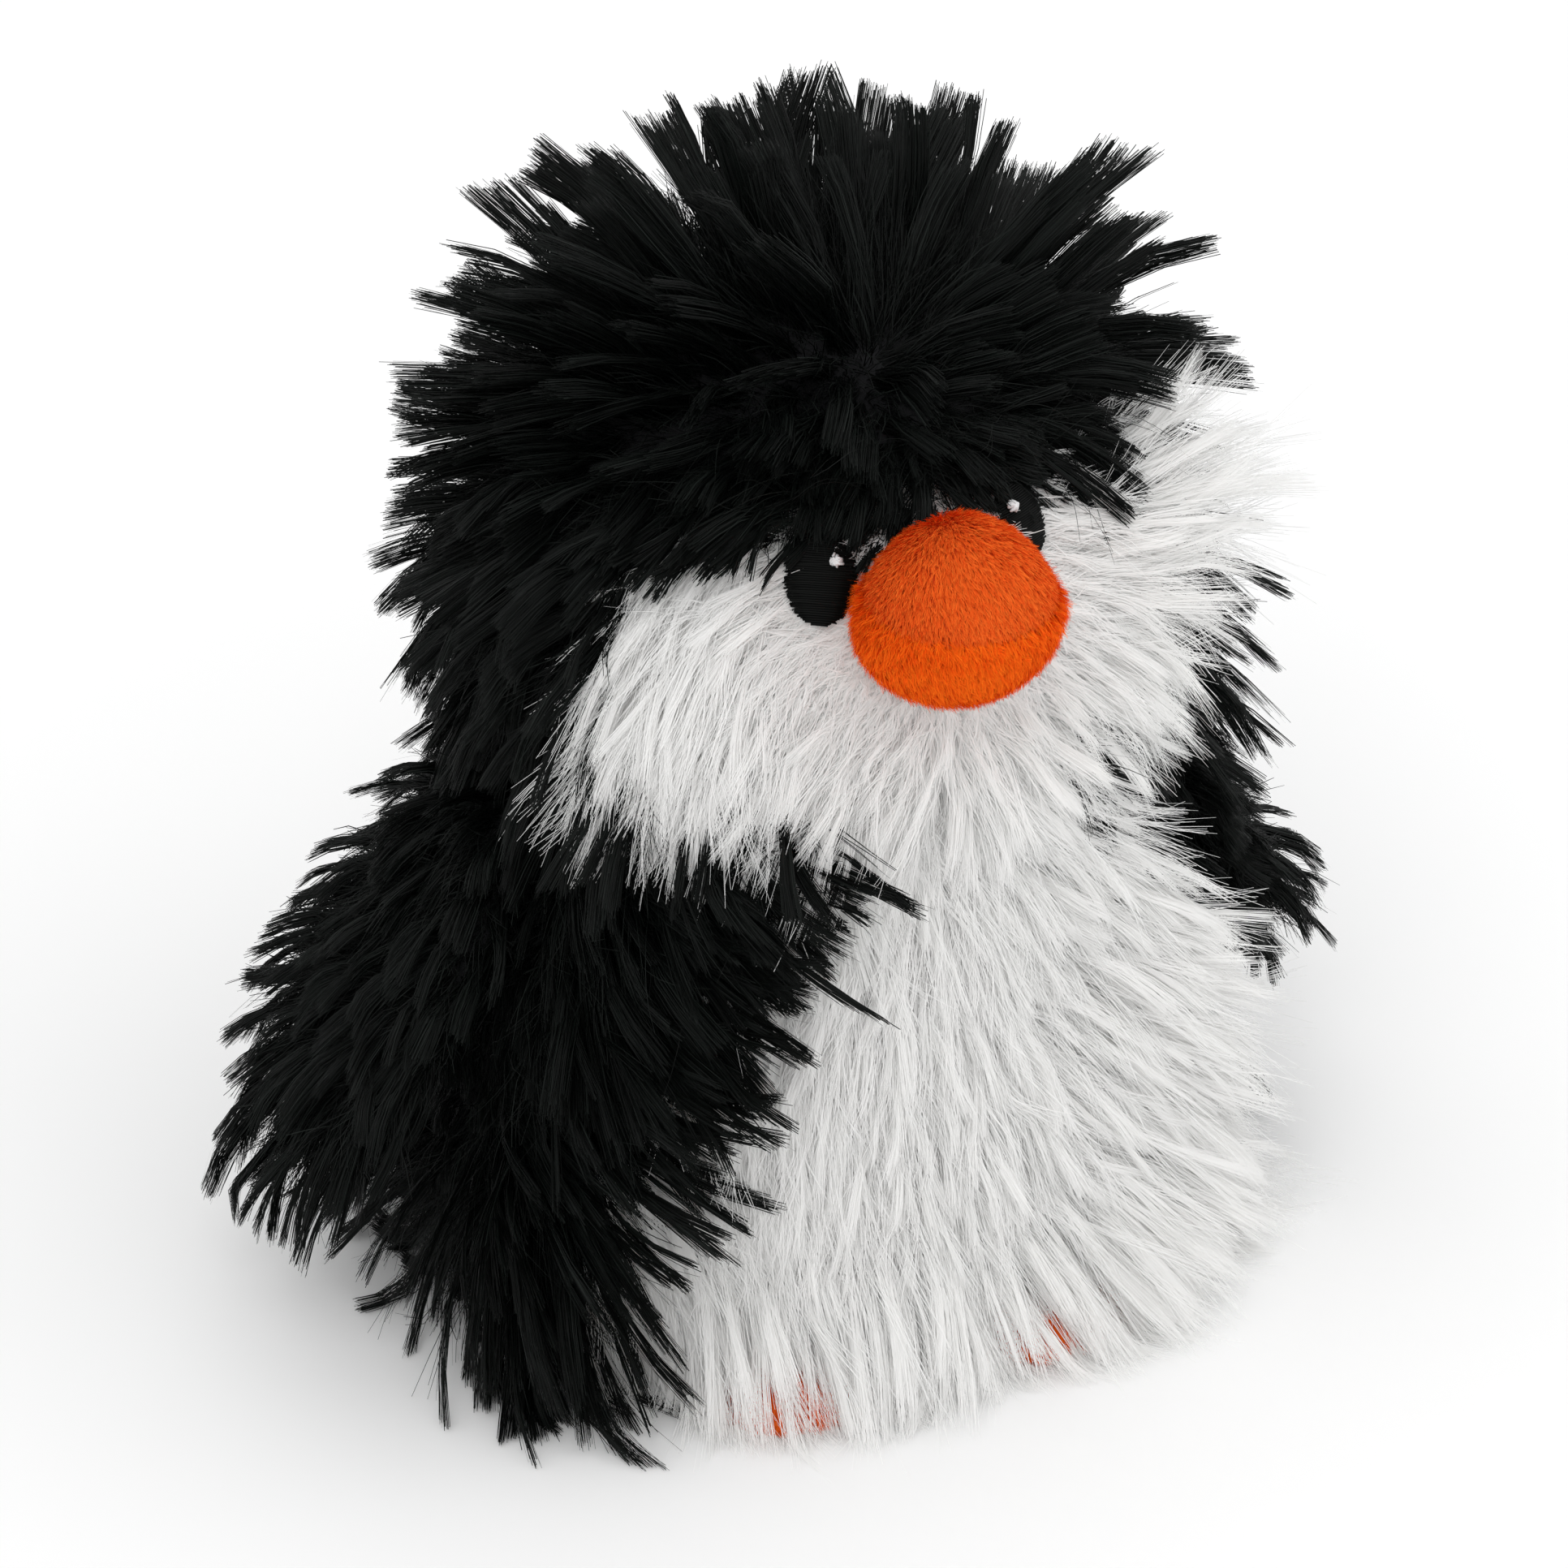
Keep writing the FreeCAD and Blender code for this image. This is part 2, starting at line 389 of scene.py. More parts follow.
def grow(root, normal, comb, length, lift, style, rng, steps=5):
    """Locks of fur. Each one starts as a wide patch, gathers to a flat bundle and ends bluntly."""
    locks = len(root)
    swirl = np.radians(style.flow * flow_ripple(root) + rng.normal(0, style.swirl, (locks, 1)))
    comb = np.cos(swirl) * comb + np.sin(swirl) * np.cross(normal, comb)
    side = np.cross(normal, comb)
    lift = lift[:, None] + style.lift_flow * lift_ripple(root)
    lift = lift + rng.normal(0, style.lift_spread, (locks, 1))
    lift = np.radians(np.clip(lift, 4, 88))
    bend = math.radians(style.bend) * rng.uniform(0.3, 1.7, (locks, 1))
    start, end = lift + bend / 2, lift - bend / 2
    first = np.cos(start) * comb + np.sin(start) * normal
    last = np.cos(end) * comb + np.sin(end) * normal
    last = unit(last + side * rng.normal(0, style.sway, (locks, 1)) - np.array([0, 0, style.sag]))
    uneven = np.clip(0.5 * length_ripple(root) + rng.normal(0, 0.8, (locks, 1)), -1.8, 1.4)
    length = length[:, None] * (1 + style.uneven * uneven)
    lock_width = rng.uniform(style.lock_width[0], style.lock_width[1], locks)
    count = np.maximum(3, np.round(lock_width * style.strands_per_mm)).astype(int)

    owner = np.repeat(np.arange(locks), count)
    total = len(owner)
    u = rng.uniform(-1, 1, (total, 1))
    v = rng.uniform(-1, 1, (total, 1))
    u = (1 - style.soft_edge) * u + style.soft_edge * rng.normal(0, 0.55, (total, 1))
    spot = rng.uniform(0, 2 * math.pi, (total, 1))
    far = style.root_spread * np.sqrt(rng.random((total, 1)))
    root_offset = far * (np.cos(spot) * comb[owner] + np.sin(spot) * side[owner])
    upright = np.cross(first, side)
    half = lock_width[owner][:, None] / 2
    roll = rng.normal(0, style.roll, (locks, 1))
    broad = np.cos(roll) * side + np.sin(roll) * upright
    deep = np.cos(roll) * upright - np.sin(roll) * side
    lock_offset = u * half * broad[owner] - v * half * style.lock_depth * deep[owner]

    # a lock splits in three towards its end, and each third goes its own way
    third = np.clip(((u[:, 0] + 1) * 1.5).astype(int), 0, 2)
    parting = rng.normal(0, style.parting, (locks, 3, 3))[owner, third]
    slant = rng.normal(0, style.slant, (locks, 1))
    own = 1 + slant[owner] * u - np.abs(rng.normal(0, style.ragged, (total, 1)))
    s = np.linspace(0, 1, steps)[None, :, None] * own[:, None]
    mid = first * length * 0.5
    tip = mid + last * length * 0.5
    curve = 2 * s * (1 - s) * mid[owner][:, None] + s * s * tip[owner][:, None]
    gathered = smooth(s, 0.0, style.gather)
    wander = rng.normal(0, style.stray, (total, 1, 3)) + parting[:, None]
    path = root[owner][:, None] + curve
    path = path + (1 - gathered) * root_offset[:, None]
    path = path + gathered * (1 + style.fan * s) * lock_offset[:, None]
    path = path + wander * s ** 1.7
    phase = rng.uniform(0, 2 * math.pi, (locks, 1, 1))[owner]
    wave = np.sin(5.5 * s + phase) - np.sin(phase)
    height = style.wave * rng.uniform(0.3, 1.0, (locks, 1, 1))[owner]
    path = path + height * wave * side[owner][:, None]
    floor = FUR_LOW[2] + 0.9 * rng.random((total, 1))
    path[..., 2] = np.maximum(path[..., 2], floor)

    along = unit(np.gradient(path, axis=1))
    base = (np.sin(start) * -comb + np.cos(start) * normal)[owner][:, None]
    base = unit(base - dot(base, along) * along)
    flank = np.cross(along, base)
    twist = rng.uniform(-style.twist, style.twist, (total, 1, 1))
    facing = np.cos(twist) * base + np.sin(twist) * flank
    taper = 1 - style.taper * np.linspace(0, 1, steps) ** 3
    width = style.strand_width * rng.uniform(0.7, 1.25, (total, 1)) * taper[None, :]
    return SimpleNamespace(
        path=path,
        across=np.cross(along, facing),
        facing=unit(facing + style.even * base),
        width=width,
        tone=rng.random(total) ** style.tone_power,
        lock_tone=rng.random(locks)[owner],
        rounding=np.full(total, style.rounding),
    )


# A style of fur. Angles are in degrees and sizes in millimetres.
LOCKS = SimpleNamespace(
    # which way a lock goes
    flow=13, swirl=10, lift_flow=6, lift_spread=9, bend=34, sway=0.2, sag=0.14,
    # how its length varies
    uneven=0.13, slant=0.07, ragged=0.06,
    # its shape
    lock_width=(1.6, 5.4), lock_depth=0.3, roll=0.7, root_spread=2.6, gather=0.55,
    fan=0.25, parting=0.45, soft_edge=0.25, stray=0.3, wave=0.5,
    # its strands, and how they shade
    strands_per_mm=27, strand_width=0.17, taper=0.45, twist=1.0,
    even=0.6, rounding=0.6, tone_power=3.0,
    # the loose hair and the undercoat between the locks
    under_lift=8, coat=0.7, coat_gap=1.45, coat_swirl=24, coat_hairs=4,
)


def styled(base, **changes):
    """A style of fur with some things changed."""
    return SimpleNamespace(**{**vars(base), **changes})


def undercoat(style):
    return styled(
        style, swirl=35, lift_spread=13, lock_width=(0.6, 1.0), strands_per_mm=5, root_spread=1.1,
        stray=1.2, uneven=0.25, ragged=0.15, twist=1.4, fan=0, parting=0, taper=0.5,
    )


def loose_hair(style):
    return styled(
        style, swirl=style.coat_swirl, lift_spread=0.5 * style.coat_swirl, lock_width=(0.5, 1.0),
        strands_per_mm=style.coat_hairs, root_spread=1.6, stray=1.3, uneven=0.2, ragged=0.12,
        gather=1.0, fan=0, parting=0.5, taper=0.5, wave=1.1,
    )


def near_flipper(p):
    """How much of the fur lies pressed under a flipper: 1 where it does, 0 elsewhere."""
    local = p * [-1, 1, 1]
    local = np.where(p[:, :1] < 0, local, p) - FLIPPER_HINGE
    c, s = math.cos(FLIPPER_SPLAY), math.sin(FLIPPER_SPLAY)
    x, y, z = local.T
    out = x * c + z * s
    down = x * s - z * c - FLIPPER_DROP + 4
    reach = np.hypot(y / (FLIPPER_RADII[1] - 2), down / (FLIPPER_RADII[2] - 2))
    return fade(reach, 0.75, 1.1) * (np.abs(out) < 22) * (p[:, 1] > -22)


def hood_edge(p):
    """How far above the hood's seam each point is."""
    height = p[:, 2] - HOOD_FRONT - HOOD_SLOPE * (p[:, 1] - HEAD_FRONT)
    return height / math.hypot(1, HOOD_SLOPE)


def comb_hood(p, n):
    """Away from the whorl; over the brow it is parted, down on the right and out on the left."""
    x, y, _ = p.T
    away = unit(p - CROWN)
    apart = np.clip((x - 3) / 10, -1, 1)
    aside = np.abs(apart)
    raised = 0.55 * smooth(x, 16, 32)
    rise = -0.85 + np.where(apart > 0, 0.5, 0.3) * aside + raised
    fringe = vectors(apart, -0.35 + 0.1 * aside, rise)
    share = (fade(hood_edge(p), 8, 28) * fade(y, AXIS_Y - 12, AXIS_Y + 4))[:, None]
    return tangent(away * (1 - 0.85 * share) + fringe * 1.1 * share, n)


def comb_cheek(p, n):
    """The right cheek is brushed down and the left one out to the side."""
    x, _, z = p.T
    away = unit(vectors(x, 0, np.minimum(z - EYE_UP, -2.0)))
    apart = smooth(np.linalg.norm((p - BEAK_CENTRE)[:, [0, 2]], axis=1), 16, 30)[:, None]
    low = fade(z, 124, 142)[:, None]
    rise = 0.8 * smooth(x, 24, 34)
    left = away + low * np.array([0.35, 0.1, -0.25])
    left = left + (1 - low) * vectors(0.4, 0.1, rise)
    brushed = np.where(x[:, None] < 0, [-0.38, -0.05, -0.88], left)
    return tangent(away * (1 - apart) + brushed * apart, n)


def comb_belly(p, n):
    """Down, and out to the side towards the bib's left edge."""
    x, _, z = p.T
    out = np.where(x < 0, 0.25 * smooth(-x, 22, 44), x / 21 * (1 - 0.2 * fade(z, 20, 70)))
    return tangent(vectors(out, -0.1, -1), n)


def near_bib(p):
    """How near the body's black fur is to the bib's right edge: 1 on it, 0 well away."""
    x, y, z = p.T
    near = np.exp(-(np.abs(np.abs(x) - bib_half_width(z)) / 17.0) ** 2) * (y < AXIS_Y - 10)
    return near * (x < 0) * fade(z, 100, 116)


def comb_back(p, n):
    """Down, and forward over the bib's right edge."""
    x, y, z = p.T
    near = (near_bib(p) * (0.4 + 0.6 * smooth(z, 18, 52)))[:, None]
    forward = vectors(-np.sign(x), -0.5, -0.45)
    backward = 0.15 * np.sign(y - AXIS_Y) + 0.7 * (x > 0) * fade(y, -26, 4)
    down = vectors(0.3 * np.sign(x), backward, -1)
    return tangent(down * (1 - near) + 1.5 * forward * near, n)


MOST_STRANDS = 23500  # in one piece, so that its mesh stays moderate
FUR_SAMPLES = 36000
COAT_LOWERED = 4  # the hair between the locks lies this much flatter
UNDER_GAP, UNDER_SHARE = 1.25, 0.4  # the undercoat's spacing, and its share of the length


def make_fur(name, grid, chosen, comb, length, lift, style, material, body, seed, spacing=4.4):
    """Locks and loose hair over an undercoat, as one piece or a few."""
    rng = np.random.default_rng(seed)
    points, normals = sample(grid, FUR_SAMPLES, rng)
    keep = chosen(points)
    points, normals = points[keep], normals[keep]
    groups = []
    for gap, share, raised, kind in (
        (spacing, 1.0, 0, style),
        (style.coat_gap, style.coat, -COAT_LOWERED, loose_hair(style)),
        (UNDER_GAP, UNDER_SHARE, style.under_lift, undercoat(style)),
    ):
        kept = thin_out(points, gap)
        p, n = points[kept], normals[kept]
        pressed = near_flipper(p) if body == "torso" else 0 * p[:, 0]
        p_length = length(p) * share * (1 - 0.62 * pressed)
        p_lift = lift(p) * (1 - 0.5 * pressed) + raised
        groups.append(grow(p, n, comb(p, n), p_length, p_lift, kind, rng))
    strands = join(groups)
    root = strands.path[:, 0]
    order = np.argsort(np.arctan2(root[:, 0], AXIS_Y - root[:, 1]), kind="stable")
    total = len(order)
    parts = math.ceil(total / MOST_STRANDS)
    for part in range(parts):
        label = name if parts == 1 else "%s_%d" % (name, part + 1)
        share = order[part * total // parts:(part + 1) * total // parts]
        belong(strand_mesh(label, pick(strands, share), material), body)


# ---------------- materials

def set_inputs(node, values):
    for key, value in values.items():
        node.inputs[key].default_value = value


def new_material(name):
    """A material and its shader, with functions that add a node and link two sockets."""
    material = bpy.data.materials.new(name)
    material.use_nodes = True
    tree = material.node_tree

    def add(kind, inputs, **settings):
        node = tree.nodes.new("ShaderNode" + kind)
        for key, value in settings.items():
            setattr(node, key, value)
        set_inputs(node, inputs)
        return node

    return material, tree.nodes["Principled BSDF"], add, tree.links.new


def noise_over(add, link, scale, detail):
    """Noise over the object's own space."""
    noise = add("TexNoise", {"Scale": scale, "Detail": detail})
    link(add("TexCoord", {}).outputs["Object"], noise.inputs["Vector"])
    return noise.outputs["Fac"]


def tone_between(add, link, dark, light, value):
    """A colour between the dark one and the light one."""
    tones = add("Mix", {}, data_type="RGBA")
    set_inputs(tones, {"A": (*dark, 1), "B": (*light, 1)})
    link(value, tones.inputs["Factor"])
    return tones.outputs["Result"]


STRAND_WEIGHT, LOCK_WEIGHT, CLOUD_WEIGHT = 0.70, 0.15, 0.15  # what a strand's tone is made of
SHADED_PART = 0.5  # of the strand, from its root


def fur_material(name, dark, light, roughness, specular, root_shade, glow_through=0.0):
    """Long pile: every strand and lock has its own tone, and it is darker towards the root."""
    material, shader, add, link = new_material(name)
    split = add("SeparateColor", {})
    link(add("Attribute", {}, attribute_name="strand").outputs["Color"], split.inputs["Color"])
    tone = None
    for value, weight in (
        (noise_over(add, link, 60, 3), CLOUD_WEIGHT),
        (split.outputs["Blue"], LOCK_WEIGHT),
        (split.outputs["Red"], STRAND_WEIGHT),
    ):
        term = add("Math", {1: weight}, operation="MULTIPLY_ADD" if tone else "MULTIPLY")
        link(value, term.inputs[0])
        if tone:
            link(tone, term.inputs[2])
        tone = term.outputs[0]
    rise = add("MapRange", {"From Max": SHADED_PART, "To Min": root_shade})
    link(split.outputs["Green"], rise.inputs["Value"])
    shade = add("Mix", {"Factor": 1.0}, data_type="RGBA", blend_type="MULTIPLY")
    link(tone_between(add, link, dark, light, tone), shade.inputs["A"])
    link(rise.outputs["Result"], shade.inputs["B"])
    colour = shade.outputs["Result"]
    link(colour, shader.inputs["Base Color"])
    set_inputs(shader, {"Roughness": roughness, "Specular IOR Level": specular})
    if glow_through:
        through = add("BsdfTranslucent", {})
        both = add("MixShader", {"Fac": glow_through})
        link(colour, through.inputs["Color"])
        link(shader.outputs["BSDF"], both.inputs[1])
        link(through.outputs["BSDF"], both.inputs[2])
        output = material.node_tree.nodes["Material Output"]
        link(both.outputs["Shader"], output.inputs["Surface"])
    return material


def cloth_material(name, colour, roughness, scale=900, bump=0.25):
    """Knitted backing, thread or filling, with a fine nap."""
    material, shader, add, link = new_material(name)
    nap = noise_over(add, link, scale, 4)
    tone = tone_between(add, link, [0.7 * c for c in colour], colour, nap)
    link(tone, shader.inputs["Base Color"])
    rough = add("Bump", {"Strength": bump, "Distance": 0.0004})
    link(nap, rough.inputs["Height"])
    link(rough.outputs["Normal"], shader.inputs["Normal"])
    set_inputs(shader, {"Roughness": roughness, "Specular IOR Level": 0.2})
    return material


black_fur = fur_material(
    "black_fur", (0.0002, 0.0004, 0.0003), (0.0105, 0.0140, 0.0120),
    roughness=0.45, specular=0.11, root_shade=0.5,
)
white_fur = fur_material(
    "white_fur", (0.968, 0.966, 0.958), (0.985, 0.983, 0.976),
    roughness=0.8, specular=0.04, root_shade=1.0, glow_through=0.455,
)
orange_pile = fur_material(
    "orange_pile", (0.87, 0.082, 0.007), (1.0, 0.225, 0.03),
    roughness=0.8, specular=0.04, root_shade=0.95,
)
lower_pile = fur_material(
    "lower_pile", (0.96, 0.088, 0.004), (1.0, 0.222, 0.012),
    roughness=0.8, specular=0.04, root_shade=1.0,
)
satin_black = fur_material(
    "satin_black", (0.0010, 0.0012, 0.0010), (0.0045, 0.005, 0.0045),
    roughness=0.45, specular=0.07, root_shade=1.0,
)
black_backing = cloth_material("black_backing", (0.008, 0.008, 0.009), 0.9)
white_backing = cloth_material("white_backing", (0.90, 0.90, 0.89), 0.9)
orange_backing = cloth_material("orange_backing", (0.80, 0.085, 0.010), 0.9)
filling = cloth_material("polyester_filling", (0.85, 0.85, 0.83), 0.8, scale=250, bump=0.6)
base_cloth = cloth_material("base_cloth", (0.015, 0.015, 0.017), 0.85)
black_thread = cloth_material("black_thread", (0.003, 0.003, 0.003), 0.6)
white_thread = cloth_material("white_thread", (0.85, 0.85, 0.86), 0.5)


# ---------------- the body

surface = body_grid()
SEAM_DEPTH, SEAM_WIDTH = 1.3, 3.5  # how far a seam pulls the backing in, and over what width


def seam_planes():
    """A point and a normal for every plane that the panels are cut along."""
    hood, jaw = math.atan(HOOD_SLOPE), math.atan(JAW_SLOPE)
    bib_lean = (BIB_BOTTOM - BIB_TOP) / (JAW_FRONT - BIB_FULL)
    planes = [
        ((0, HEAD_FRONT, HOOD_FRONT), (0, -math.sin(hood), math.cos(hood))),
        ((0, HEAD_FRONT, JAW_FRONT), (0, -math.sin(jaw), math.cos(jaw))),
        ((0, 0, 0), (1, 0, 0)),
    ]
    for side in (-1, 1):
        cheek = (side * math.cos(CHEEK_ANGLE), math.sin(CHEEK_ANGLE), 0)
        planes.append(((0, AXIS_Y, 0), cheek))
        planes.append(((side * BIB_BOTTOM, 0, 0), (side, 0, 0)))
        planes.append(((side * BIB_BOTTOM, 0, BIB_FULL), (side, 0, bib_lean)))
    return planes


def make_body_backing():
    """The backing of every panel, cut along the seams, each panel crowned between them."""
    points = surface[0]
    columns = points.shape[1]
    mesh = bmesh.new()
    verts = [mesh.verts.new(p) for p in points.reshape(-1, 3)]
    for quad in ring_quads(*points.shape[:2]):
        mesh.faces.new([verts[i] for i in quad])
    top = mesh.verts.new(points[-1].mean(0))
    last = verts[-columns:]
    for c in range(columns):
        mesh.faces.new((last[c], last[(c + 1) % columns], top))
    for centre, normal in seam_planes():
        everything = mesh.verts[:] + mesh.edges[:] + mesh.faces[:]
        bmesh.ops.bisect_plane(mesh, geom=everything, dist=1e-4, plane_co=centre, plane_no=normal)
    mesh.verts.index_update()
    co = np.array([v.co for v in mesh.verts])
    outward = np.array([v.normal for v in mesh.verts])
    outward = outward * np.sign(dot(outward, co - [0, AXIS_Y, 90]))
    owner = panel_of(np.array([f.calc_center_median() for f in mesh.faces]))
    touching = [set() for _ in mesh.verts]
    for face, panel in zip(mesh.faces, owner):
        for v in face.verts:
            touching[v.index].add(panel)
    seams = tree_of(co[[len(panels) > 1 for panels in touching]])
    gap = np.array([seams.find(p)[2] for p in co])
    co = co - outward * (SEAM_DEPTH * np.exp(-((gap / SEAM_WIDTH) ** 2)))[:, None]
    for index, panel in enumerate(PANELS):
        faces = [[v.index for v in f.verts] for f, o in zip(mesh.faces, owner) if o == index]
        used = sorted({i for f in faces for i in f})
        place = {i: k for k, i in enumerate(used)}
        faces = [[place[i] for i in f] for f in faces]
        colour, backing = ("white", white_backing) if is_white(panel) else ("black", black_backing)
        piece = mesh_object(panel + "_backing", co[used], faces, backing)
        kind, *side = panel.split("_")
        belong(piece, "torso", "_".join([kind, "panel", *side]))
    mesh.free()


make_body_backing()


# The functions below give each root's length in millimetres or its lift in degrees, which is how
# steeply it stands off the backing. The ranges that they blend over are places in millimetres.

def over_eye(p):
    """The brow's fur is shorter above each eye."""
    return 6.0 * np.exp(-((np.abs(p[:, 0]) - EYE_OUT + 3.0) / 7.0) ** 2)


def behind_fan(p):
    """Black fur just above and behind the left cheek, which the cheek's fan of white lies over."""
    x, y, z = p.T
    place = smooth(x, 22, 34) * fade(y, 4, 18) * smooth(z, 130, 140)
    return place * fade(hood_edge(p), 3, 12)


def hood_length(p):
    x, y, z = p.T
    edge = hood_edge(p)
    brow = 17.0 + 4.0 * smooth(np.abs(x - 3), 8, 24) + 6.0 * smooth(edge, 8, 26) - over_eye(p)
    back = 26.0 + 3.0 * smooth(y, AXIS_Y, AXIS_Y + 25) + 3.0 * smooth(z, 148, 160)
    back = back + 4.0 * smooth(x, 14, 30) * smooth(edge, 6, 16)
    front = fade(y, AXIS_Y - 22, AXIS_Y)
    side = np.where(x > 0, 4.5, -6.5) * smooth(np.abs(x), 12, 40)
    return brow * front + back * (1 - front) + side - 13.0 * behind_fan(p)


def hood_lift(p):
    x, y, _ = p.T
    brow = smooth(hood_edge(p), 4, 26)
    over_left = 10.0 * smooth(x, 8, 24) * (1 - brow) - 24.0 * behind_fan(p)
    return 16.0 + over_left + 18.0 * brow + 28.0 * smooth(y, -30, 4) + 8.0 * smooth(y, 4, 30)


def cheek_length(p):
    x, _, z = p.T
    from_face = np.linalg.norm((p - [0, HEAD_FRONT - 4, EYE_UP]) / [1.1, 1, 1], axis=1)
    left = 6.0 * smooth(x, 12, 40) + 4.0 * smooth(x, 28, 38) * smooth(z, 128, 142)
    left = left + 1.0 * smooth(x, 16, 36) * fade(z, 124, 142)
    left = left - 8.0 * smooth(x, 28, 40) * fade(z, 124, 138) * smooth(z, 100, 112)
    under_hood = 1 - 0.4 * fade(-hood_edge(p), 2, 12) * (x < 30)
    return 3.5 + (20.5 + left) * smooth(from_face, 15, 34) * under_hood


def cheek_lift(p):
    x, _, z = p.T
    left = smooth(x, 16, 38)
    under_hood = fade(-hood_edge(p), 2, 12) * fade(x, 26, 36)
    return (20.0 + 34.0 * left * smooth(z, 122, 140) + 10.0 * left) * (1 - 0.6 * under_hood)


def belly_length(p):
    x, _, z = p.T
    chin = fade(z, 92, 116)
    low = fade(z, 16, 40)
    left = smooth(x, 12, 36)
    right = smooth(-x, 16, 40) * (1 - chin)
    return (12.0 + 9.0 * chin + 14.0 * low + 10.0 * left * (1 - low)) * (1 - 0.4 * right)


def belly_lift(p):
    x, _, z = p.T
    left = smooth(x, 12, 38)
    right = smooth(-x, 20, 42)
    low = fade(z, 16, 44)
    return (16.0 + 24.0 * left + (34.0 - 18.0 * left) * low) * (1 - 0.45 * right)


def beyond_cheek(p):
    """Black fur behind the left cheek, which stands out past the white."""
    x, y, z = p.T
    height = smooth(z, 92, 104) * fade(z, 132, 142)
    return smooth(x, 30, 40) * height * fade(y, AXIS_Y + 4, AXIS_Y + 20)


def beside_bib(p):
    """Black fur on the left side's lower half, which the belly's white stands out past."""
    x, y, z = p.T
    return smooth(x, 20, 30) * fade(y, -8, 16) * fade(z, 54, 72)


def left_edge(p):
    """Black fur along the left edge of the white, which is short enough to leave it showing."""
    x, y, _ = p.T
    return smooth(x, 20, 30) * fade(y, -30, -8) * (1 - beyond_cheek(p))


def back_length(p):
    _, y, z = p.T
    low = fade(z, 16, 46)
    short = 8.0 + 7.0 * fade(z, 56, 76)
    length = 23.0 + (9.0 + 6.0 * (y < AXIS_Y)) * low + 5.0 * near_bib(p)
    length = length - short * left_edge(p)
    length = length - 4.0 * behind_fan(p) + 8.0 * beyond_cheek(p)
    return length - 9.0 * beside_bib(p) * (1 - left_edge(p))


def back_lift(p):
    lift = 36.0 + 14.0 * fade(p[:, 2], 12, 50) - 14.0 * near_bib(p)
    lift = lift - 14.0 * left_edge(p) - 8.0 * behind_fan(p)
    return lift + 26.0 * beyond_cheek(p) - 12.0 * beside_bib(p)


WHITE_LOCKS = styled(
    LOCKS, flow=9, swirl=9, twist=0.5, even=7.0, strands_per_mm=22, strand_width=0.13, sag=0.2,
    roll=0.5, lock_width=(1.0, 3.6), lift_spread=3.5, lift_flow=3.5, wave=0.35, lock_depth=0.22,
    soft_edge=0.8, ragged=0.09, taper=0.6, parting=0.8, stray=0.5, uneven=0.12, rounding=0.1,
    under_lift=0, coat=0.98, coat_gap=1.15, coat_swirl=12, coat_hairs=11, tone_power=1.0,
)
BELLY_LOCKS = styled(WHITE_LOCKS, sag=0.35)
HOOD_LOCKS = styled(
    LOCKS, bend=26, sag=0.04, lift_spread=11, lock_width=(2.4, 7.5), soft_edge=0.08, taper=0.3,
    coat=0.62,
)
EDGE_LOCKS = styled(HOOD_LOCKS, lock_width=(1.0, 2.6), lift_spread=5, swirl=12, root_spread=1.6)
CRIMPED_HAIR = styled(
    LOCKS, swirl=40, lift_spread=16, bend=60, lock_width=(0.4, 0.8), strands_per_mm=5, stray=3.2,
    wave=1.8, gather=1.0, fan=0, parting=1.0, uneven=0.3, strand_width=0.1, ragged=0.2,
)
FACE_HAIR = styled(
    WHITE_LOCKS, swirl=14, lift_spread=7, lock_width=(0.5, 1.0), strands_per_mm=7, root_spread=0.7,
    stray=0.4, parting=0, strand_width=0.15, uneven=0.15,
)
# how each kind of panel is combed, how long and how steep its fur is, its locks and their spacing
BODY_FUR = {
    "hood": (comb_hood, hood_length, hood_lift, HOOD_LOCKS, 4.8),
    "cheek": (comb_cheek, cheek_length, cheek_lift, WHITE_LOCKS, 3.6),
    "belly": (comb_belly, belly_length, belly_lift, BELLY_LOCKS, 3.6),
    "back": (comb_back, back_length, back_lift, LOCKS, 4.4),
}


def on_face(p):
    """Under the beak and the eyes, where no fur grows."""
    x, y, z = p.T
    beak = np.hypot(x / 12.0, (z - BEAK_CENTRE[2] + 3.0) / 10.5) < 1
    size = np.where(x < 0, 1.0, 0.76)
    raised = np.where(x < 0, EYE_RAISED["right"], EYE_RAISED["left"])
    eye = np.hypot((np.abs(x) - EYE_OUT) / 5.0, (z - EYE_UP - raised) / 6.8) < size
    return (beak | eye | over_face(p)) & (y < AXIS_Y)


def over_face(p):
    """The strip over the beak and the eyes that the brow's fur hides."""
    x, _, z = p.T
    over_beak = (np.abs(x) < 10) & (z > EYE_UP)
    over_eyes = (np.abs(x) < 23) & (z > EYE_UP + 5.5)
    return (over_beak | over_eyes) & (hood_edge(p) <= 0)


def make_body_fur():
    for index, panel in enumerate(PANELS):
        comb, length, lift, style, spacing = BODY_FUR[panel.split("_")[0]]

        def chosen(p, index=index):
            return (panel_of(p) == index) & ~on_face(p)

        make_fur(
            panel + "_fur", surface, chosen, comb, length, lift, style,
            white_fur if is_white(panel) else black_fur, "torso", 11 + index, spacing,
        )


